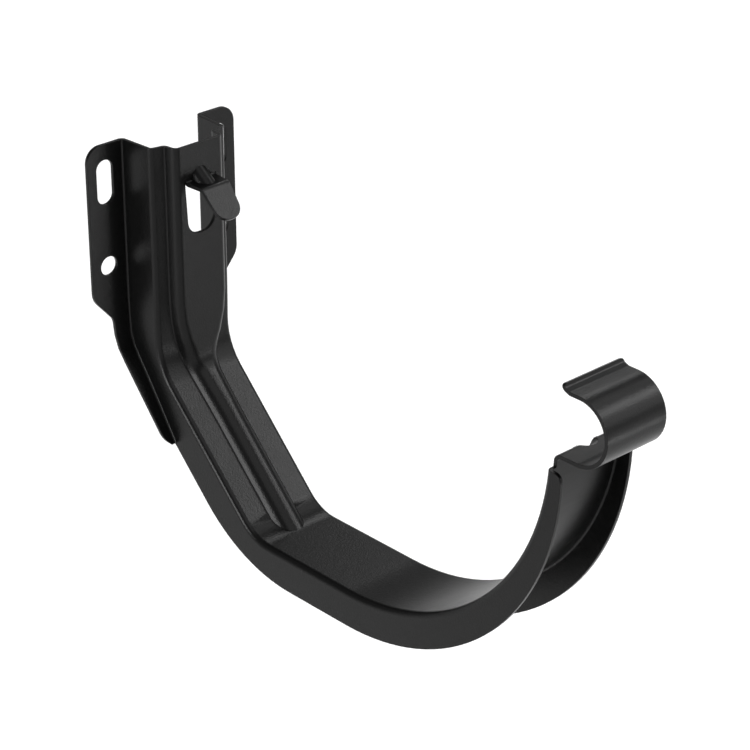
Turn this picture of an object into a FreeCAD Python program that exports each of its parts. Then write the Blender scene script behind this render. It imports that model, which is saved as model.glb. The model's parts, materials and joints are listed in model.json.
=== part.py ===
"""Gutter bracket for a half-round gutter, pressed in one piece from flat steel sheet.

Frame: millimetres, +Z up. The fascia board is the plane Y = 0 and the gutter hangs on the -Y side.
The origin lies on that plane, midway between the two round fixing holes. "Reach" is the distance
out from the fascia, so a point is (x, -reach, z).
"""
import FreeCAD
import Part
import math
import os
from FreeCAD import Vector

# Sheet
SHEET = 1.2
BEND = 0.6               # inside radius of the bends
HALF = SHEET / 2.0

# Back plate: two flanges on the fascia, one each side of the stiffened stem
PLATE_HALF = 27.9
PLATE_TOP = 38.6
PLATE_CORNER = 5.0
PLATE_FOOT = -9.8        # where the side edge turns in
PLATE_FOOT_CORNER = 6.0
STRIP_HALF = 20.8        # narrow strip below the flange
STRIP_TOP = -18.0
STRIP_CORNER = 4.0
STRIP_END_HALF = 17.2
STRIP_END_RISE = 2.0     # height of the rounded lower end
STRIP_END_CORNER = 4.5

# Fixing holes
HOLE_X = 21.6
HOLE_D = 6.0
SLOT_W = 6.0
SLOT_LEN = 14.0
SLOT_Z = 26.8

# Stem section, to the middle of the sheet
WALL_FOOT_HALF = 14.4
WALL_HEAD_HALF = 13.6
RAIL_REACH = 12.9        # outer edge of the rails
RAIL_RISE = 0.95         # the rails rise this much towards the raised face
STEP_HALF = 9.2
STEP_DRAFT = 0.6
FACE_RISE = 5.3          # raised face above the edge of the rails
FACE_BEND = 1.8
FACE_REACH = RAIL_REACH + FACE_RISE

# Knee: below it the rails lie at 45 degrees
KNEE_Z = -32.0
KNEE_R = 20.0
FLANGE_KNEE_RISE = 5.3   # the flange strip leaves the fascia this much above the rails' knee
FLANGE_SLOPE = 1.52      # drop of the strip for each millimetre of reach
FLANGE_BLEND = 0.8       # softens the bend where the strip leaves the fascia
NARROW_RISE = 21.0       # the raised face starts to narrow this much above the knee
NARROW_FALL = 11.0       # and has become the rib this much below it
SLANT = math.pi / 4.0
LEAN = math.sqrt(0.5)
SLANT_OFFSET = -KNEE_Z - RAIL_REACH
FLANGE_KNEE_Z = KNEE_Z + FLANGE_KNEE_RISE
NARROW_TOP = KNEE_Z + NARROW_RISE
NARROW_FOOT = KNEE_Z - NARROW_FALL

# Gutter: the cradle that holds it and the bead along its front
GUTTER_R = 77.0
GUTTER_GAP = 0.2         # between the raised face and the back of the gutter
GUTTER_Z = 3.2           # centre of the cradle
BEAD_R = 9.0
BEAD_RISE = 6.4          # centre of the bead above the centre of the cradle
BEAD_INSET = 1.1         # the bead reaches this far into the round of the gutter
GUTTER_REACH = FACE_REACH + HALF + GUTTER_GAP + GUTTER_R
BEAD_REACH = GUTTER_REACH + GUTTER_R + BEAD_R - BEAD_INSET
VALLEY_Z = GUTTER_Z + BEAD_RISE - BEAD_R - HALF

# Web of the channel, to the middle of the sheet
CHANNEL_HALF = 13.9      # outside half width of the channel
FOLD_R = 15.0            # between the slant and the level bottom
RIDGE_BEND = 1.2         # inside radius of the ridge before the hook
WEB_R = GUTTER_R + HALF
WEB_Z = GUTTER_Z - WEB_R
FOLD_REACH = -WEB_Z - SLANT_OFFSET
CRADLE = math.acos((GUTTER_Z - VALLEY_Z + RIDGE_BEND + HALF) / WEB_R)

# Free edge of the channel walls: depths are square to the middle of the web
SLANT_DEPTH = 11.9
FLOOR_DEPTH = 11.0
FRONT_DEPTH = 4.6
EDGE_FOLD_R = 52.0
EDGE_END = 1.4           # straight end above the large round
WALL_DROP = 3.4          # top of the walls, below the valley of the hook
WALL_CORNER = 2.6
EDGE_OFFSET = SLANT_OFFSET + SLANT_DEPTH / LEAN
EDGE_Z = WEB_Z - FLOOR_DEPTH
EDGE_FRONT = GUTTER_REACH + WEB_R * math.sin(CRADLE) + FRONT_DEPTH
EDGE_R = GUTTER_Z - WEB_R * math.cos(CRADLE) - EDGE_Z - EDGE_END
WALL_TOP = VALLEY_Z - WALL_DROP

# Half-round rib between the slanted rails, to the middle of the sheet
RIB_HALF = 4.7
RIB_TOP_HALF = 2.75
RIB_RISE = 3.45
RIB_BLEND = 0.5          # softens the bend where the raised face runs into the rib
RIB_DEPTH = 3.0 * SHEET  # how far its cutting shapes reach behind the web

# Front hook around the bead
HOOK_HALF = 11.15
LIP_START = 3.4          # flat on top, from the bead's centre back to the lip
LIP_ANGLE = 22.0
LIP_LENGTH = 2.0
LIP_BEND = 0.3
LIP_TURN = 1.0           # inside radius where the lip turns up at its end
LIP_END_ANGLE = 66.0
LIP_END = 1.4
LIP_CORNER = 1.0

# Rear tongue, cut free from the raised face and folded out
TONGUE_Z = 26.8
TONGUE_ROOT_HALF = 5.8
TONGUE_TIP_HALF = 4.3
TONGUE_OUT = 7.2         # from the raised face to the outer bend
TONGUE_ANGLE = 48.0
TONGUE_BLADE = 11.0
TONGUE_SAVING = 1.8      # length that the two bends take up
TONGUE_CLEARANCE = 0.05  # keeps the round of the tip just short of a full half circle
TONGUE_REACH = FACE_REACH + TONGUE_OUT
WINDOW_FOOT = TONGUE_Z - TONGUE_OUT - TONGUE_BLADE + TONGUE_SAVING
WINDOW_FOOT_HALF = 4.9
WINDOW_CORNER = 4.4

# Stiffening dimples
GUSSET_R = 3.0
GUSSET_SLOPE = 37.0
GUSSET_LIFT = 0.3
DIMPLE_R = 3.6
DIMPLE_DEPTH = 2.9

SMALL = 0.25             # shortest edge left at a corner that is nearly straight
ROOM = 20.0              # how far cutting shapes run past the sheet


def at(x, reach, z):
    """A point given by its distance out from the fascia."""
    return Vector(x, -reach, z)


def side_at(x):
    """Places a side profile (reach, z) at this x."""
    return lambda reach, z: at(x, reach, z)


def unit(a, b):
    """Direction from a to b, both 2D."""
    length = math.hypot(b[0] - a[0], b[1] - a[1])
    return ((b[0] - a[0]) / length, (b[1] - a[1]) / length)


def turn(before, after):
    """Signed turn between two 2D directions, in radians."""
    cross = before[0] * after[1] - before[1] * after[0]
    dot = before[0] * after[0] + before[1] * after[1]
    return math.atan2(cross, dot)


def corner(a, b, c, radius):
    """Start, middle and end of the round at b between a and c."""
    back = unit(b, a)
    ahead = unit(b, c)
    angle = abs(turn((-back[0], -back[1]), ahead))
    reach = max(radius * math.tan(angle / 2.0), SMALL)
    start = (b[0] + back[0] * reach, b[1] + back[1] * reach)
    end = (b[0] + ahead[0] * reach, b[1] + ahead[1] * reach)
    if angle < 0.01:
        return start, None, end
    gap = reach / math.tan(angle / 2.0) * (1.0 / math.cos(angle / 2.0) - 1.0)
    inward = unit((0.0, 0.0), (back[0] + ahead[0], back[1] + ahead[1]))
    middle = (b[0] + inward[0] * gap, b[1] + inward[1] * gap)
    return start, middle, end


def rounded_edges(nodes, place, closed=False):
    """Lines and arcs through nodes (a, b, radius); place turns (a, b) into a point."""
    count = len(nodes)
    stops = []
    for i, (a, b, radius) in enumerate(nodes):
        free_end = not closed and i in (0, count - 1)
        if radius == 0 or free_end:
            stops.append(((a, b), None, (a, b)))
            continue
        before = nodes[i - 1]
        after = nodes[(i + 1) % count]
        stops.append(corner(before[:2], (a, b), after[:2], radius))
    edges = []
    for i, (start, middle, end) in enumerate(stops):
        if middle:
            edges.append(Part.Arc(place(*start), place(*middle), place(*end)).toShape())
        elif start != end:
            edges.append(Part.LineSegment(place(*start), place(*end)).toShape())
        if i + 1 < count or closed:
            following = stops[(i + 1) % count][0]
            if math.dist(end, following) > 1e-6:
                edges.append(Part.LineSegment(place(*end), place(*following)).toShape())
    return edges


def prism(nodes, place, along):
    """Solid pushed out from a closed rounded outline."""
    wire = Part.Wire(rounded_edges(nodes, place, closed=True))
    return Part.Face(wire).extrude(along)


def offset_nodes(nodes, distance):
    """Moves a 2D path sideways (left is positive), with its corner radii."""
    count = len(nodes)
    moved = []
    for i, (a, b, radius) in enumerate(nodes):
        before = unit(nodes[i - 1][:2], (a, b)) if i else None
        after = unit((a, b), nodes[i + 1][:2]) if i + 1 < count else None
        before = before or after
        after = after or before
        angle = turn(before, after)
        middle = (before[0] + after[0], before[1] + after[1])
        size = math.hypot(*middle)
        spread = distance / math.cos(angle / 2.0)
        new_radius = radius - distance * (1.0 if angle > 0 else -1.0) if radius else 0
        moved.append((a - middle[1] / size * spread, b + middle[0] / size * spread, new_radius))
    return moved


def sheet_edges(nodes, place):
    """Closed outline of a strip of sheet that follows a path at its middle."""
    left = rounded_edges(offset_nodes(nodes, HALF), place)
    right = rounded_edges(offset_nodes(nodes, -HALF), place)
    far = Part.LineSegment(left[-1].Vertexes[-1].Point, right[-1].Vertexes[-1].Point).toShape()
    near = Part.LineSegment(right[0].Vertexes[0].Point, left[0].Vertexes[0].Point).toShape()
    return left + [far] + right[::-1] + [near]


def smooth(value, low, high):
    """0 at low, 1 at high, level at both ends."""
    part = min(1.0, max(0.0, (value - low) / (high - low)))
    return part * part * (3.0 - 2.0 * part)


def knee_start():
    """Height where the rails' knee begins."""
    return KNEE_Z + KNEE_R * math.tan(SLANT / 2.0)


def stem_station(position):
    """Middle of the rails' sheet and its tilt, from the top down: (reach, z, tilt)."""
    start = knee_start()
    if position >= start:
        return RAIL_REACH, position, 0.0
    angle = min((start - position) / KNEE_R, SLANT)
    rest = (start - position) - KNEE_R * angle
    reach = RAIL_REACH + KNEE_R * (1.0 - math.cos(angle)) + rest * math.sin(angle)
    z = start - KNEE_R * math.sin(angle) - rest * math.cos(angle)
    return reach, z, angle


def soft_greater(a, b, blend):
    """The greater of two lengths, with the change between them rounded over about a blend."""
    return blend * math.log(math.exp(a / blend) + math.exp(b / blend))


def flange_depth(reach, z, tilt):
    """Distance from the rails back to the flange, square to the rails."""
    upright = (reach - HALF) / math.cos(tilt)
    drop = FLANGE_KNEE_Z - FLANGE_SLOPE * (reach - HALF)
    slanted = (z - drop) / (math.sin(tilt) + FLANGE_SLOPE * math.cos(tilt))
    return -soft_greater(-upright, -slanted, FLANGE_BLEND)


def rib_bend():
    """Radius that makes the two upper bends of the rib meet in one round."""
    flank = math.atan2(RIB_RISE, RIB_HALF - RIB_TOP_HALF)
    return (RIB_TOP_HALF - SMALL) / math.tan(flank / 2.0)


def stem_section(position):
    """Closed outline of the sheet across the stem."""
    reach, z, tilt = stem_station(position)
    depth = flange_depth(reach, z, tilt)
    ease = smooth(z, NARROW_FOOT, NARROW_TOP)
    foot = CHANNEL_HALF - HALF + (WALL_FOOT_HALF - CHANNEL_HALF + HALF) * ease
    head = CHANNEL_HALF - HALF + (WALL_HEAD_HALF - CHANNEL_HALF + HALF) * ease
    rise = RAIL_RISE * ease
    step = soft_greater((FACE_REACH - reach) / math.cos(tilt), RIB_RISE, RIB_BLEND)
    step_foot = RIB_HALF + (STEP_HALF - RIB_HALF) * ease
    step_head = RIB_TOP_HALF + (STEP_HALF - STEP_DRAFT - RIB_TOP_HALF) * ease
    step_bend = rib_bend() + (FACE_BEND - rib_bend()) * ease
    bend = BEND + HALF
    half = [(PLATE_HALF + 1.0, -depth, 0), (foot, -depth, bend), (head, 0.0, bend),
            (step_foot, rise, bend), (step_head, step, step_bend)]
    nodes = half + [(-a, b, r) for a, b, r in reversed(half)]

    def place(x, n):
        return at(x, reach + n * math.cos(tilt), z + n * math.sin(tilt))

    return Part.Wire(Part.__sortEdges__(sheet_edges(nodes, place)))


def stem_positions(end):
    """Stations down the stem, closer together round the knee."""
    start = knee_start()
    above = [NARROW_TOP, (NARROW_TOP + start) / 2.0]
    bend = [start - KNEE_R * SLANT * k / 6.0 for k in range(7)]
    return [PLATE_TOP] + above + bend + [end]


def stem_end():
    """Where the strip's line meets the free edge, and the middle of the web square to it."""
    reach = (EDGE_OFFSET + FLANGE_KNEE_Z + FLANGE_SLOPE * HALF) / (FLANGE_SLOPE - 1.0)
    z = -(reach + EDGE_OFFSET)
    return (reach, z), (reach + SLANT_DEPTH * LEAN, z + SLANT_DEPTH * LEAN)


def plate_outline():
    """Front view of the back plate and the strips below it, as a prism through it."""
    end = stem_end()[0][1]
    half = [(PLATE_HALF, PLATE_TOP, PLATE_CORNER), (PLATE_HALF, PLATE_FOOT, PLATE_FOOT_CORNER),
            (STRIP_HALF, STRIP_TOP, STRIP_CORNER),
            (STRIP_END_HALF, end + STRIP_END_RISE, STRIP_END_CORNER),
            (CHANNEL_HALF, end - SHEET, 0), (CHANNEL_HALF, end - ROOM, 0)]
    nodes = half + [(-a, b, r) for a, b, r in reversed(half)]
    return prism(nodes, lambda x, z: at(x, -1.0, z), at(0, GUTTER_REACH, 0))


def stem():
    """Back plate, walls, rails and raised face, down to the end of the flange strips."""
    knee_foot = knee_start() - KNEE_R * SLANT
    reach, z, _ = stem_station(knee_foot)
    end = knee_foot - math.dist((reach, z), stem_end()[1])
    sections = [stem_section(p) for p in stem_positions(end)]
    return Part.makeLoft(sections, True, True).common(plate_outline())


def web_nodes(start):
    """Middle of the web's sheet from start to the end of the cradle, as (reach, z, radius)."""
    tangent = WEB_R * math.tan(CRADLE / 2.0)
    end = (GUTTER_REACH + WEB_R * math.sin(CRADLE), GUTTER_Z - WEB_R * math.cos(CRADLE))
    return [(start[0], start[1], 0), (FOLD_REACH, WEB_Z, FOLD_R),
            (GUTTER_REACH + tangent, WEB_Z, WEB_R), (end[0], end[1], 0)]


def edges_on(shape, path, x):
    """Edges of a shape that lie on a side profile at this x."""
    wire = Part.Wire(rounded_edges(path, side_at(x)))
    found = []
    for edge in shape.Edges:
        middle = edge.valueAt((edge.FirstParameter + edge.LastParameter) / 2.0)
        if abs(middle.x - x) > 1e-4 or abs(edge.Vertexes[0].X - edge.Vertexes[-1].X) > 1e-4:
            continue
        if Part.Vertex(middle).distToShape(wire)[0] < 1e-3:
            found.append(edge)
    return found


def channel_block():
    """The channel as if solid, from the slant to the end of the cradle."""
    (reach, z), middle = stem_end()
    path = offset_nodes(web_nodes(middle), HALF)
    top = path[-1][1] - (EDGE_FRONT - path[-1][0]) / math.tan(CRADLE)
    edge = [(EDGE_FRONT, top, 0), (EDGE_FRONT, EDGE_Z, EDGE_R),
            (-EDGE_Z - EDGE_OFFSET, EDGE_Z, EDGE_FOLD_R), (reach, z, 0)]
    block = prism(path + edge, side_at(-CHANNEL_HALF), at(2.0 * CHANNEL_HALF, 0, 0))
    bends = edges_on(block, path, CHANNEL_HALF) + edges_on(block, path, -CHANNEL_HALF)
    return block.makeFillet(BEND + SHEET, bends)


def channel_core():
    """The hollow of the channel, behind the web and between the walls."""
    middle = stem_end()[1]
    start = (middle[0] - SHEET, middle[1] + SHEET)
    half_width = CHANNEL_HALF - SHEET
    path = offset_nodes(web_nodes(start), -HALF)
    back = path[0][0] - ROOM
    far = EDGE_FRONT + ROOM
    low = EDGE_Z - ROOM
    rest = [(path[-1][0], ROOM, 0), (far, ROOM, 0), (far, low, 0), (back, low, 0),
            (back, path[0][1] - ROOM, 0)]
    core = prism(path + rest, side_at(-half_width), at(2.0 * half_width, 0, 0))
    bends = edges_on(core, path, half_width) + edges_on(core, path, -half_width)
    return core.makeFillet(BEND, bends)


def rib(start, side):
    """Solid below one side of the rib's sheet, along the slant from start to behind the web."""
    half = [(-STEP_HALF, 0, 0), (-RIB_HALF, 0, BEND + HALF), (-RIB_TOP_HALF, RIB_RISE, rib_bend())]
    path = offset_nodes(half + [(-a, b, r) for a, b, r in reversed(half)], side)
    outline = path + [(STEP_HALF, -RIB_DEPTH, 0), (-STEP_HALF, -RIB_DEPTH, 0)]
    run = FOLD_REACH + RIB_RISE - start[0]

    def place(x, n):
        return at(x, start[0] + n * LEAN, start[1] + n * LEAN)

    return prism(outline, place, at(0, run, -run))


def channel():
    """Web with its two walls and the rib, from the end of the flange strips to the hook."""
    middle = stem_end()[1]
    solid = channel_block().fuse(rib(middle, HALF))
    hollow = channel_core().fuse(rib((middle[0] - SHEET, middle[1] + SHEET), -HALF))
    shape = solid.cut(hollow)
    size = 2.0 * ROOM
    for x in (HOOK_HALF, -HOOK_HALF - size):
        above = Part.makeBox(size, size, size, at(x, EDGE_FRONT + ROOM, WALL_TOP))
        shape = shape.cut(above)
    ends = []
    for edge in shape.Edges:
        middle = edge.valueAt((edge.FirstParameter + edge.LastParameter) / 2.0)
        across = abs(edge.BoundBox.XLength - SHEET) < 0.01
        if across and abs(middle.z - WALL_TOP) < 0.01 and abs(middle.y + EDGE_FRONT) < 0.1:
            ends.append(edge)
    return shape.makeFillet(WALL_CORNER, ends)


def back_and_up(start, length, angle):
    """End of a straight run towards the fascia that rises at angle degrees, as (reach, z)."""
    rise = math.radians(angle)
    return start[0] - length * math.cos(rise), start[1] + length * math.sin(rise)


def hook():
    """Ridge, valley under the bead, loop over it and the lip."""
    start = web_nodes((0.0, 0.0))[-1]
    radius = BEAD_R + HALF
    ridge = start[0] + (VALLEY_Z - start[1]) / math.tan(CRADLE)
    lip_reach = BEAD_REACH - LIP_START
    top = VALLEY_Z + 2.0 * radius
    turn_up = back_and_up((lip_reach, top), LIP_LENGTH, LIP_ANGLE)
    tip = back_and_up(turn_up, LIP_END, LIP_END_ANGLE)
    nodes = [(start[0], start[1], 0), (ridge, VALLEY_Z, RIDGE_BEND + HALF),
             (BEAD_REACH + radius, VALLEY_Z, radius), (BEAD_REACH + radius, top, radius),
             (lip_reach, top, LIP_BEND + HALF), (turn_up[0], turn_up[1], LIP_TURN + HALF),
             (tip[0], tip[1], 0)]
    wire = Part.Wire(Part.__sortEdges__(sheet_edges(nodes, side_at(-HOOK_HALF))))
    shape = Part.Face(wire).extrude(at(2.0 * HOOK_HALF, 0, 0))
    tip_point = at(0, tip[0], tip[1])
    corners = []
    for edge in shape.Edges:
        middle = edge.CenterOfMass
        near = math.hypot(middle.y - tip_point.y, middle.z - tip_point.z) < 0.01
        if near and edge.BoundBox.XLength < 0.01:
            corners.append(edge)
    return shape.makeFillet(LIP_CORNER, corners)


def tongue():
    """Shelf and blade, folded out of the raised face."""
    angle = math.radians(TONGUE_ANGLE)
    along = (math.cos(angle), -math.sin(angle))
    tip = (TONGUE_REACH + TONGUE_BLADE * along[0], TONGUE_Z + TONGUE_BLADE * along[1])
    nodes = [(FACE_REACH, TONGUE_Z + BEND + HALF, 0), (FACE_REACH, TONGUE_Z, BEND + HALF),
             (TONGUE_REACH, TONGUE_Z, BEND + HALF), (tip[0], tip[1], 0)]
    wire = Part.Wire(Part.__sortEdges__(sheet_edges(nodes, side_at(-TONGUE_ROOT_HALF))))
    strip = Part.Face(wire).extrude(at(2.0 * TONGUE_ROOT_HALF, 0, 0))
    root = -TONGUE_OUT - SHEET
    half = [(TONGUE_ROOT_HALF, root - ROOM, 0), (TONGUE_ROOT_HALF, root, 0),
            (TONGUE_TIP_HALF, TONGUE_BLADE, TONGUE_TIP_HALF - TONGUE_CLEARANCE)]
    outline = half + [(-a, b, r) for a, b, r in reversed(half)]

    def place(x, s):
        reach = TONGUE_REACH + s * along[0] + ROOM * along[1]
        z = TONGUE_Z + s * along[1] - ROOM * along[0]
        return at(x, reach, z)

    across = at(0, -2.0 * ROOM * along[1], 2.0 * ROOM * along[0])
    return strip.common(prism(outline, place, across))


def window():
    """Opening left in the raised face where the tongue was cut free."""
    top = TONGUE_Z + BEND + HALF
    half = [(TONGUE_ROOT_HALF, top, 0), (WINDOW_FOOT_HALF, WINDOW_FOOT, WINDOW_CORNER)]
    outline = half + [(-a, b, r) for a, b, r in reversed(half)]
    return prism(outline, lambda x, z: at(x, FACE_REACH - 3.0, z), at(0, 6.0, 0))


def fixing_holes():
    """Round holes and upright slots through both flanges."""
    tools = []
    run = SLOT_LEN - SLOT_W
    depth = 4.0 * SHEET
    out = Vector(0, -1, 0)
    for x in (-HOLE_X, HOLE_X):
        tools.append(Part.makeCylinder(HOLE_D / 2.0, depth, at(x, -SHEET, 0), out))
        for end in (-run / 2.0, run / 2.0):
            tools.append(Part.makeCylinder(SLOT_W / 2.0, depth, at(x, -SHEET, SLOT_Z + end), out))
        foot = at(x - SLOT_W / 2.0, depth - SHEET, SLOT_Z - run / 2.0)
        tools.append(Part.makeBox(SLOT_W, depth, run, foot))
    return tools


def rod(radius, reach, z, angle, reach_out):
    """Cylinder in the middle plane, centred on (reach, z), rising at angle degrees."""
    rise = math.radians(angle)
    along = Vector(0, -math.cos(rise), math.sin(rise))
    return Part.makeCylinder(radius, 2.0 * reach_out, at(0, reach, z) - along * reach_out, along)


def tongue_gusset():
    """Half-round bump across the root fold of the tongue: what it adds and its hollow."""
    reach = FACE_REACH + HALF
    z = TONGUE_Z + HALF + GUSSET_LIFT
    run = 4.0 * GUSSET_R
    added = rod(GUSSET_R, reach, z, -GUSSET_SLOPE, run)
    hollow = rod(GUSSET_R - SHEET, reach, z, -GUSSET_SLOPE, run)
    corner_out = at(-ROOM / 2.0, FACE_REACH + ROOM, TONGUE_Z)
    corner_in = at(-ROOM / 2.0, FACE_REACH - SHEET + ROOM, TONGUE_Z - SHEET)
    outside = Part.makeBox(ROOM, ROOM, ROOM, corner_out)
    inside = Part.makeBox(ROOM, ROOM, ROOM, corner_in)
    return added.common(outside), hollow.common(inside)


def ridge_dimple():
    """Groove pressed across the ridge of the hook: what it adds below and the groove."""
    face = offset_nodes(web_nodes((0.0, 0.0)), HALF)[-1][0]
    out = (DIMPLE_R - DIMPLE_DEPTH) * LEAN
    reach = face - out
    z = VALLEY_Z + HALF + out
    run = 2.0 * DIMPLE_R
    added = rod(DIMPLE_R + SHEET, reach, z, 45.0, run)
    under = Part.makeBox(ROOM, ROOM, ROOM, at(-ROOM / 2.0, face + HALF + ROOM, VALLEY_Z - ROOM))
    return added.common(under), rod(DIMPLE_R, reach, z, 45.0, run)


def bracket():
    """The whole bracket as one solid."""
    shape = stem().cut(window())
    shape = shape.fuse([channel(), hook(), tongue()])
    for added, removed in (tongue_gusset(), ridge_dimple()):
        shape = shape.fuse(added).cut(removed)
    shape = shape.cut(fixing_holes())
    return shape.removeSplitter().Solids[0]


if __name__ == "__main__":
    os.makedirs("parts", exist_ok=True)
    shape = bracket()
    shape.exportStep("parts/bracket.step")
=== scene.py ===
"""Gutter bracket: the pressed steel sheet with its powder coat, and the stage around it.

Laid out as an add-on and run as a script. Lengths in the code are metres unless a name says mm.
"""

import bmesh
import bpy
import json
import math
from mathutils import Matrix, Vector

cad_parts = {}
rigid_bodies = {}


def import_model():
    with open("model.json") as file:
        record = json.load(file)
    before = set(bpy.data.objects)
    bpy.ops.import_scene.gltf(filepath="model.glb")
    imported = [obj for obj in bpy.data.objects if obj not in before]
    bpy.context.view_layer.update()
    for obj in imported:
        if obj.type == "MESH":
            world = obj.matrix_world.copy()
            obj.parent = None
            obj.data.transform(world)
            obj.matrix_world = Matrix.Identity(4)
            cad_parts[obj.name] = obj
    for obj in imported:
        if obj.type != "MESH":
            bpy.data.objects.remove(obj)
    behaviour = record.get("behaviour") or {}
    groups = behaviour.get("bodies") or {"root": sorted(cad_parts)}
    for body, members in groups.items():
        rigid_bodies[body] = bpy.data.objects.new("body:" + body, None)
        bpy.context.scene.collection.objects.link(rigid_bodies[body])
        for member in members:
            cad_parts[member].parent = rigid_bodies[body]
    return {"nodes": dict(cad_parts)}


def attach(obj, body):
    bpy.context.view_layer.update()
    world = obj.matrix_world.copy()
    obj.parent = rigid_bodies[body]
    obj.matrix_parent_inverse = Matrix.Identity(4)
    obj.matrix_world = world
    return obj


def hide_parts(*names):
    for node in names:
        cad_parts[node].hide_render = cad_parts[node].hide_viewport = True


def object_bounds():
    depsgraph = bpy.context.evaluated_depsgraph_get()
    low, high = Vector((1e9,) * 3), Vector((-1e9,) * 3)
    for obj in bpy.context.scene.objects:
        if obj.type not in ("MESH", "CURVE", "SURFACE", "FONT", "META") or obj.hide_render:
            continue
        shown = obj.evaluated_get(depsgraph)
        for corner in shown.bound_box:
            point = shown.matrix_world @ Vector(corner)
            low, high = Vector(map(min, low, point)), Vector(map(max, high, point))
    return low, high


bl_info = {
    "name": "Gutter Bracket",
    "version": (1, 0, 0),
    "blender": (4, 5, 0),
    "location": "3D View > Sidebar > Gutter Bracket",
    "description": "A pressed steel bracket for a half-round gutter, with its powder coat and stage",
    "category": "Add Mesh",
}

for leftover in list(bpy.data.objects):
    bpy.data.objects.remove(leftover, do_unlink=True)
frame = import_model()
CAD_BOX = [list(corner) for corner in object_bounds()]
MM = 0.001

# Skin: points closer than this are joined, and neighbours that turn less than this are merged.
JOIN_DISTANCE = 1e-6
FLAT_ANGLE = math.radians(0.3)
# An outward edge that turns more than this is a cut edge of the sheet.
CUT_EDGE_ANGLE = math.radians(50.0)

# Coat: the waves of the melted powder, and the lowest and highest change of roughness and colour.
WAVE_LENGTH = 6.0 * MM
WAVE_DEPTH = 0.01 * MM
ROUGHNESS_CHANGE = (-0.02, 0.03)
COLOUR_CHANGE = (0.8, 1.2)
COAT_SPECULAR = 0.155

# Room: sines of the elevations between which the horizon fades into the even light.
HORIZON_FADE = (0.03, 0.2)
# Floor: half its width, and the distances between which its own glow goes from near to far.
FLOOR_REACH = 40.0
GLOW_FADE = (0.9, 3.5)

CAMERA_PLACE = (-0.4520, -0.5767, 0.3209)
CAMERA_AHEAD = (0.6111, 0.6531, -0.4472)
CAMERA_RIGHT = (0.7302, -0.6833, 0.0)

MIDDLE = (0.0, -0.09, -0.02)
HOOK = (0.0, -0.185, 0.0)
# Soft lamps: name, point they face, elevation and azimuth in degrees, distance, width, level.
LAMPS = (
    ("lamp_left", MIDDLE, (5.0, 178.0), 2.0, 0.80, 14.0),
    ("lamp_right", MIDDLE, (39.0, 328.0), 4.0, 1.10, 9.5),
    ("lamp_front_right", MIDDLE, (25.0, 313.0), 4.0, 2.30, 2.5),
    ("lamp_front_high", MIDDLE, (54.0, 256.0), 4.0, 3.60, 1.5),
    ("lamp_top_right", MIDDLE, (52.0, 355.0), 4.0, 1.50, 2.2),
    ("lamp_back", MIDDLE, (39.0, 38.0), 4.0, 0.90, 5.5),
    ("lamp_low", HOOK, (-22.0, 311.0), 0.5, 0.07, 12.0),
)


def linear(hex_colour):
    """Linear RGB of an sRGB hex colour."""
    parts = [int(hex_colour[i:i + 2], 16) / 255.0 for i in (1, 3, 5)]
    return [p / 12.92 if p <= 0.04045 else ((p + 0.055) / 1.055) ** 2.4 for p in parts]


class BracketSheetSettings(bpy.types.PropertyGroup):
    """Sizes of the finish on the pressed sheet."""

    edge_round: bpy.props.FloatProperty(
        name="Edge rounding",
        description="Width of the rounding on the cut edges of the sheet",
        default=0.16 * MM, min=0.0, precision=5, subtype="DISTANCE", unit="LENGTH")
    crease_angle: bpy.props.FloatProperty(
        name="Crease angle",
        description="Edges that turn more than this stay sharp in the shading",
        default=math.radians(35.0), subtype="ANGLE", unit="ROTATION")
    coat_colour: bpy.props.FloatVectorProperty(
        name="Coat colour",
        description="Colour of the powder coat",
        default=linear("#090909"), size=3, min=0.0, max=1.0, subtype="COLOR")
    grain_mm: bpy.props.FloatProperty(
        name="Grain",
        description="Width of one grain of the coat's fine texture, in millimetres",
        default=0.5, min=0.05)
    grain_depth: bpy.props.FloatProperty(
        name="Grain depth",
        description="Height of the fine texture",
        default=0.045 * MM, min=0.0, precision=6, subtype="DISTANCE", unit="LENGTH")
    roughness: bpy.props.FloatProperty(
        name="Roughness",
        description="Roughness of the satin coat",
        default=0.29, min=0.0, max=1.0, subtype="FACTOR")


class BracketStageSettings(bpy.types.PropertyGroup):
    """Sizes and levels of the stage."""

    floor_drop: bpy.props.FloatProperty(
        name="Floor drop",
        description="Height of the bracket above the floor",
        default=0.22, min=0.0, subtype="DISTANCE", unit="LENGTH")
    floor_colour: bpy.props.FloatVectorProperty(
        name="Floor colour",
        description="Colour of the pale floor",
        default=linear("#F2F2F2"), size=3, min=0.0, max=1.0, subtype="COLOR")
    ambient: bpy.props.FloatProperty(
        name="Ambient level",
        description="Level of the even light from all round",
        default=0.28, min=0.0)
    floor_lift: bpy.props.FloatProperty(
        name="Floor lift",
        description="What the floor adds to its lit colour where it is seen or mirrored",
        default=0.30, min=0.0)
    horizon_level: bpy.props.FloatProperty(
        name="Horizon level",
        description="Level at which the floor's far edge and the room behind it are seen",
        default=0.75, min=0.0)
    lamp_level: bpy.props.FloatProperty(
        name="Lamp level",
        description="Level of all the soft lamps together",
        default=1.0, min=0.0)
    lens_mm: bpy.props.FloatProperty(
        name="Lens",
        description="Focal length of the camera on a 36 mm sensor, in millimetres",
        default=126.3, min=10.0)


def add_node(tree, kind, settings=None, **inputs):
    """A node with its settings, and its inputs given as values or as sockets to link from."""
    node = tree.nodes.new(kind)
    for name, value in (settings or {}).items():
        setattr(node, name, value)
    for name, value in inputs.items():
        socket = node.inputs[name.replace("_", " ")]
        if isinstance(value, bpy.types.NodeSocket):
            tree.links.new(value, socket)
        else:
            socket.default_value = value
    return node


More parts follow.
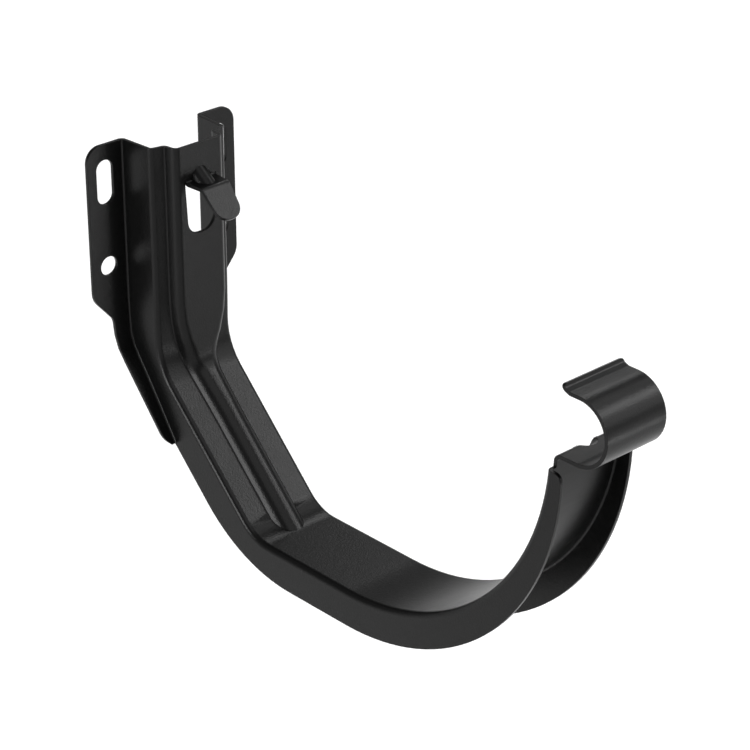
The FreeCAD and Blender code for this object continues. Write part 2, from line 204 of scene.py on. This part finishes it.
def powder_coat(settings):
    """Powder-coated steel: black polyester powder, sprayed dry and baked on.

    It gives a deep black with a satin sheen, broken by a fine even grain; the melted powder rounds
    over the edges, and broad shallow waves in it make the long highlights a little uneven.
    """
    material = bpy.data.materials.new("Powder-coated steel, black satin")
    material.use_nodes = True
    tree = material.node_tree
    tree.nodes.clear()
    place = add_node(tree, "ShaderNodeTexCoord")
    grain = add_node(tree, "ShaderNodeTexNoise", Vector=place.outputs["Object"],
                     Scale=1.0 / (settings.grain_mm * MM), Detail=1.5, Roughness=0.55)
    waves = add_node(tree, "ShaderNodeTexNoise", Vector=place.outputs["Object"],
                     Scale=1.0 / WAVE_LENGTH, Detail=1.0, Roughness=0.4)
    sheen = add_node(tree, "ShaderNodeMapRange", Value=waves.outputs["Fac"],
                     To_Min=settings.roughness + ROUGHNESS_CHANGE[0],
                     To_Max=settings.roughness + ROUGHNESS_CHANGE[1])
    tint = add_node(tree, "ShaderNodeMapRange", Value=grain.outputs["Fac"],
                    To_Min=COLOUR_CHANGE[0], To_Max=COLOUR_CHANGE[1])
    colour = add_node(tree, "ShaderNodeVectorMath", {"operation": "SCALE"},
                      Vector=settings.coat_colour[:], Scale=tint.outputs["Result"])
    broad = add_node(tree, "ShaderNodeBump", Height=waves.outputs["Fac"],
                     Strength=1.0, Distance=WAVE_DEPTH)
    fine = add_node(tree, "ShaderNodeBump", Height=grain.outputs["Fac"],
                    Strength=1.0, Distance=settings.grain_depth, Normal=broad.outputs["Normal"])
    shader = add_node(tree, "ShaderNodeBsdfPrincipled", Base_Color=colour.outputs["Vector"],
                      Roughness=sheen.outputs["Result"], Normal=fine.outputs["Normal"])
    shader.inputs["Metallic"].default_value = 0.0
    shader.inputs["IOR"].default_value = 1.5
    shader.inputs["Specular IOR Level"].default_value = COAT_SPECULAR
    add_node(tree, "ShaderNodeOutputMaterial", Surface=shader.outputs["BSDF"])
    return material


def merged_copy(source, name):
    """The mesh of a CAD node with its loose triangles joined into one closed skin."""
    mesh = source.data.copy()
    mesh.name = name
    skin = bmesh.new()
    skin.from_mesh(mesh)
    bmesh.ops.remove_doubles(skin, verts=skin.verts, dist=JOIN_DISTANCE)
    bmesh.ops.dissolve_limit(skin, angle_limit=FLAT_ANGLE, verts=skin.verts,
                             edges=skin.edges)
    skin.to_mesh(mesh)
    skin.free()
    mesh.materials.clear()
    return mesh


def mark_cut_edges(mesh, angle):
    """Gives the cut edges of the sheet the weight that rounds them."""
    skin = bmesh.new()
    skin.from_mesh(mesh)
    weight = skin.edges.layers.float.new("bevel_weight_edge")
    for edge in skin.edges:
        if edge.is_manifold and edge.calc_face_angle_signed() > angle:
            edge[weight] = 1.0
    skin.to_mesh(mesh)
    skin.free()


def finish_tree(material):
    """Node tree that joins the skin, smooths its bends and lays on the coat."""
    tree = bpy.data.node_groups.new("Coat the sheet", "GeometryNodeTree")
    face = tree.interface
    face.new_socket("Geometry", in_out="INPUT", socket_type="NodeSocketGeometry")
    near = face.new_socket("Join distance", in_out="INPUT", socket_type="NodeSocketFloat")
    near.default_value = 0.0005 * MM
    face.new_socket("Crease angle", in_out="INPUT", socket_type="NodeSocketFloat")
    face.new_socket("Geometry", in_out="OUTPUT", socket_type="NodeSocketGeometry")
    start = add_node(tree, "NodeGroupInput")
    angle = add_node(tree, "GeometryNodeInputMeshEdgeAngle")
    joined = add_node(tree, "GeometryNodeMergeByDistance", Geometry=start.outputs["Geometry"],
                      Distance=start.outputs["Join distance"])
    bend = add_node(tree, "FunctionNodeCompare", {"operation": "LESS_THAN"},
                    A=angle.outputs["Unsigned Angle"], B=start.outputs["Crease angle"])
    faces = add_node(tree, "GeometryNodeSetShadeSmooth", {"domain": "FACE"},
                     Geometry=joined.outputs["Geometry"])
    edges = add_node(tree, "GeometryNodeSetShadeSmooth", {"domain": "EDGE"},
                     Geometry=faces.outputs["Geometry"])
    tree.links.new(bend.outputs["Result"], edges.inputs["Shade Smooth"])
    coated = add_node(tree, "GeometryNodeSetMaterial", Geometry=edges.outputs["Geometry"],
                      Material=material)
    real = add_node(tree, "GeometryNodeRealizeInstances", Geometry=coated.outputs["Geometry"])
    add_node(tree, "NodeGroupOutput", Geometry=real.outputs["Geometry"])
    return tree


def set_input(modifier, name, value):
    """Sets an input of a node tree on a modifier by the identifier of its socket."""
    for item in modifier.node_group.interface.items_tree:
        if item.in_out == "INPUT" and item.name == name:
            modifier[item.identifier] = value
            return
    raise ValueError("no input named " + name)


def plain_mesh(piece):
    """Turns what a piece's modifiers make into its own mesh, and removes them."""
    graph = bpy.context.evaluated_depsgraph_get()
    shown = piece.evaluated_get(graph)
    mesh = bpy.data.meshes.new_from_object(shown, preserve_all_data_layers=True, depsgraph=graph)
    piece.modifiers.clear()
    piece.data = mesh


class BRACKET_OT_sheet(bpy.types.Operator):
    """Dress the pressed sheet: soft cut edges, smooth bends and the powder coat"""

    bl_idname = "bracket.sheet"
    bl_label = "Pressed sheet"

    def execute(self, context):
        settings = context.scene.bracket_sheet
        material = powder_coat(settings)
        mesh = merged_copy(frame["nodes"]["bracket"], "pressed_sheet")
        mark_cut_edges(mesh, CUT_EDGE_ANGLE)
        piece = bpy.data.objects.new("pressed_sheet", mesh)
        context.scene.collection.objects.link(piece)
        rounding = piece.modifiers.new("Rounding", "BEVEL")
        rounding.limit_method = "WEIGHT"
        rounding.width = settings.edge_round
        rounding.segments = 2
        rounding.use_clamp_overlap = False
        rounding.miter_outer = "MITER_SHARP"
        finish = piece.modifiers.new("Coat", "NODES")
        finish.node_group = finish_tree(material)
        set_input(finish, "Crease angle", settings.crease_angle)
        shading = piece.modifiers.new("Flat faces stay flat", "WEIGHTED_NORMAL")
        shading.keep_sharp = True
        shading.weight = 50
        plain_mesh(piece)
        if not piece.data.polygons:
            raise RuntimeError("the pressed sheet came out empty")
        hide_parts("bracket")
        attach(piece, "root")
        return {"FINISHED"}


def toward(elevation, azimuth):
    """Direction at an elevation, and an azimuth from +X towards +Y, both in degrees."""
    rise, turn = math.radians(elevation), math.radians(azimuth)
    return Vector((math.cos(rise) * math.cos(turn), math.cos(rise) * math.sin(turn), math.sin(rise)))


def soft_lamp(name, aim, direction, distance, size, level):
    """Square soft lamp that faces aim from a direction; level is its radiance."""
    data = bpy.data.lights.new(name, "AREA")
    data.size = size
    data.energy = level * math.pi * size * size
    lamp = bpy.data.objects.new(name, data)
    lamp.location = Vector(aim) + direction * distance
    lamp.rotation_mode = "QUATERNION"
    lamp.rotation_quaternion = direction.to_track_quat("Z", "Y")
    lamp.visible_camera = False
    bpy.context.scene.collection.objects.link(lamp)


def seen_directly(tree):
    """1 for rays from the camera and for mirrored or refracted ones, 0 for the scattered ones."""
    path = add_node(tree, "ShaderNodeLightPath")
    first = add_node(tree, "ShaderNodeMath", {"operation": "MAXIMUM"})
    tree.links.new(path.outputs["Is Camera Ray"], first.inputs[0])
    tree.links.new(path.outputs["Is Glossy Ray"], first.inputs[1])
    both = add_node(tree, "ShaderNodeMath", {"operation": "MAXIMUM"})
    tree.links.new(first.outputs[0], both.inputs[0])
    tree.links.new(path.outputs["Is Transmission Ray"], both.inputs[1])
    return both.outputs[0]


def pale_room(settings):
    """World that lights evenly from all round, and meets the floor's far edge without a line."""
    world = bpy.data.worlds.new("Pale room")
    bpy.context.scene.world = world
    world.use_nodes = True
    tree = world.node_tree
    tree.nodes.clear()
    way = add_node(tree, "ShaderNodeTexCoord")
    height = add_node(tree, "ShaderNodeSeparateXYZ", Vector=way.outputs["Generated"])
    haze = add_node(tree, "ShaderNodeMapRange", {"interpolation_type": "SMOOTHSTEP"},
                    Value=height.outputs["Z"], From_Min=HORIZON_FADE[0], From_Max=HORIZON_FADE[1],
                    To_Min=settings.horizon_level - settings.ambient, To_Max=0.0)
    strength = add_node(tree, "ShaderNodeMath", {"operation": "MULTIPLY_ADD"})
    tree.links.new(seen_directly(tree), strength.inputs[0])
    tree.links.new(haze.outputs["Result"], strength.inputs[1])
    strength.inputs[2].default_value = settings.ambient
    light = add_node(tree, "ShaderNodeBackground", Color=(1.0, 1.0, 1.0, 1.0),
                     Strength=strength.outputs[0])
    add_node(tree, "ShaderNodeOutputWorld", Surface=light.outputs["Background"])


def floor_paper(settings):
    """Matt white paper: it shows as white, and still takes the bracket's shadow."""
    material = bpy.data.materials.new("Matt paper, white")
    material.use_nodes = True
    tree = material.node_tree
    tree.nodes.clear()
    place = add_node(tree, "ShaderNodeTexCoord")
    distance = add_node(tree, "ShaderNodeVectorMath", {"operation": "LENGTH"},
                        Vector=place.outputs["Object"])
    # The lamps' light fades along the paper, and its own glow makes up for part of that.
    far_lift = settings.horizon_level - settings.ambient * settings.floor_colour[0]
    rise = add_node(tree, "ShaderNodeMapRange", Value=distance.outputs["Value"],
                    From_Min=GLOW_FADE[0], From_Max=GLOW_FADE[1],
                    To_Min=settings.floor_lift, To_Max=far_lift)
    lift = add_node(tree, "ShaderNodeMath", {"operation": "MULTIPLY"})
    tree.links.new(seen_directly(tree), lift.inputs[0])
    tree.links.new(rise.outputs["Result"], lift.inputs[1])
    paper = add_node(tree, "ShaderNodeBsdfDiffuse", Color=(*settings.floor_colour, 1.0))
    glow = add_node(tree, "ShaderNodeEmission", Color=(1.0, 1.0, 1.0, 1.0),
                    Strength=lift.outputs[0])
    both = add_node(tree, "ShaderNodeAddShader")
    tree.links.new(paper.outputs[0], both.inputs[0])
    tree.links.new(glow.outputs[0], both.inputs[1])
    add_node(tree, "ShaderNodeOutputMaterial", Surface=both.outputs[0])
    return material


def floor(settings):
    """Wide plane under the bracket."""
    low = CAD_BOX[0][2] - settings.floor_drop
    reach = FLOOR_REACH
    corners = [(-reach, -reach, low), (reach, -reach, low), (reach, reach, low), (-reach, reach, low)]
    mesh = bpy.data.meshes.new("floor")
    mesh.from_pydata(corners, [], [(0, 1, 2, 3)])
    mesh.materials.append(floor_paper(settings))
    plane = bpy.data.objects.new("floor", mesh)
    bpy.context.scene.collection.objects.link(plane)


def camera(settings):
    """Camera at the photograph's place and angle."""
    data = bpy.data.cameras.new("camera")
    data.sensor_width = 36.0
    data.lens = settings.lens_mm
    data.clip_start = 0.05
    data.clip_end = 100.0
    view = bpy.data.objects.new("camera", data)
    ahead = Vector(CAMERA_AHEAD).normalized()
    right = Vector(CAMERA_RIGHT).normalized()
    up = right.cross(ahead)
    turn = Matrix((right, up, -ahead)).transposed()
    view.matrix_world = Matrix.Translation(CAMERA_PLACE) @ turn.to_4x4()
    bpy.context.scene.collection.objects.link(view)
    bpy.context.scene.camera = view


class BRACKET_OT_stage(bpy.types.Operator):
    """Set up the white floor and room, the soft lamps and the camera"""

    bl_idname = "bracket.stage"
    bl_label = "Stage"

    def execute(self, context):
        settings = context.scene.bracket_stage
        context.scene.view_settings.view_transform = "Standard"
        pale_room(settings)
        floor(settings)
        for name, aim, angles, distance, size, level in LAMPS:
            soft_lamp(name, aim, toward(*angles), distance, size, level * settings.lamp_level)
        camera(settings)
        if context.scene.camera is None:
            raise RuntimeError("the stage has no camera")
        return {"FINISHED"}


class BRACKET_PT_panel(bpy.types.Panel):
    """The bracket's settings and the steps that build it."""

    bl_idname = "BRACKET_PT_panel"
    bl_label = "Gutter Bracket"
    bl_space_type = "VIEW_3D"
    bl_region_type = "UI"
    bl_category = "Gutter Bracket"

    def draw(self, context):
        layout = self.layout
        for title, group, step in (
                ("Pressed sheet", context.scene.bracket_sheet, BRACKET_OT_sheet),
                ("Stage", context.scene.bracket_stage, BRACKET_OT_stage)):
            box = layout.box()
            box.label(text=title)
            for name in group.__annotations__:
                box.prop(group, name)
            box.operator(step.bl_idname)


CLASSES = (BracketSheetSettings, BracketStageSettings, BRACKET_OT_sheet, BRACKET_OT_stage,
           BRACKET_PT_panel)


def register():
    for cls in CLASSES:
        bpy.utils.register_class(cls)
    bpy.types.Scene.bracket_sheet = bpy.props.PointerProperty(type=BracketSheetSettings)
    bpy.types.Scene.bracket_stage = bpy.props.PointerProperty(type=BracketStageSettings)


def unregister():
    del bpy.types.Scene.bracket_stage
    del bpy.types.Scene.bracket_sheet
    for cls in reversed(CLASSES):
        bpy.utils.unregister_class(cls)


def main():
    register()
    bpy.ops.bracket.sheet()
    bpy.ops.bracket.stage()


if __name__ == "__main__":
    main()
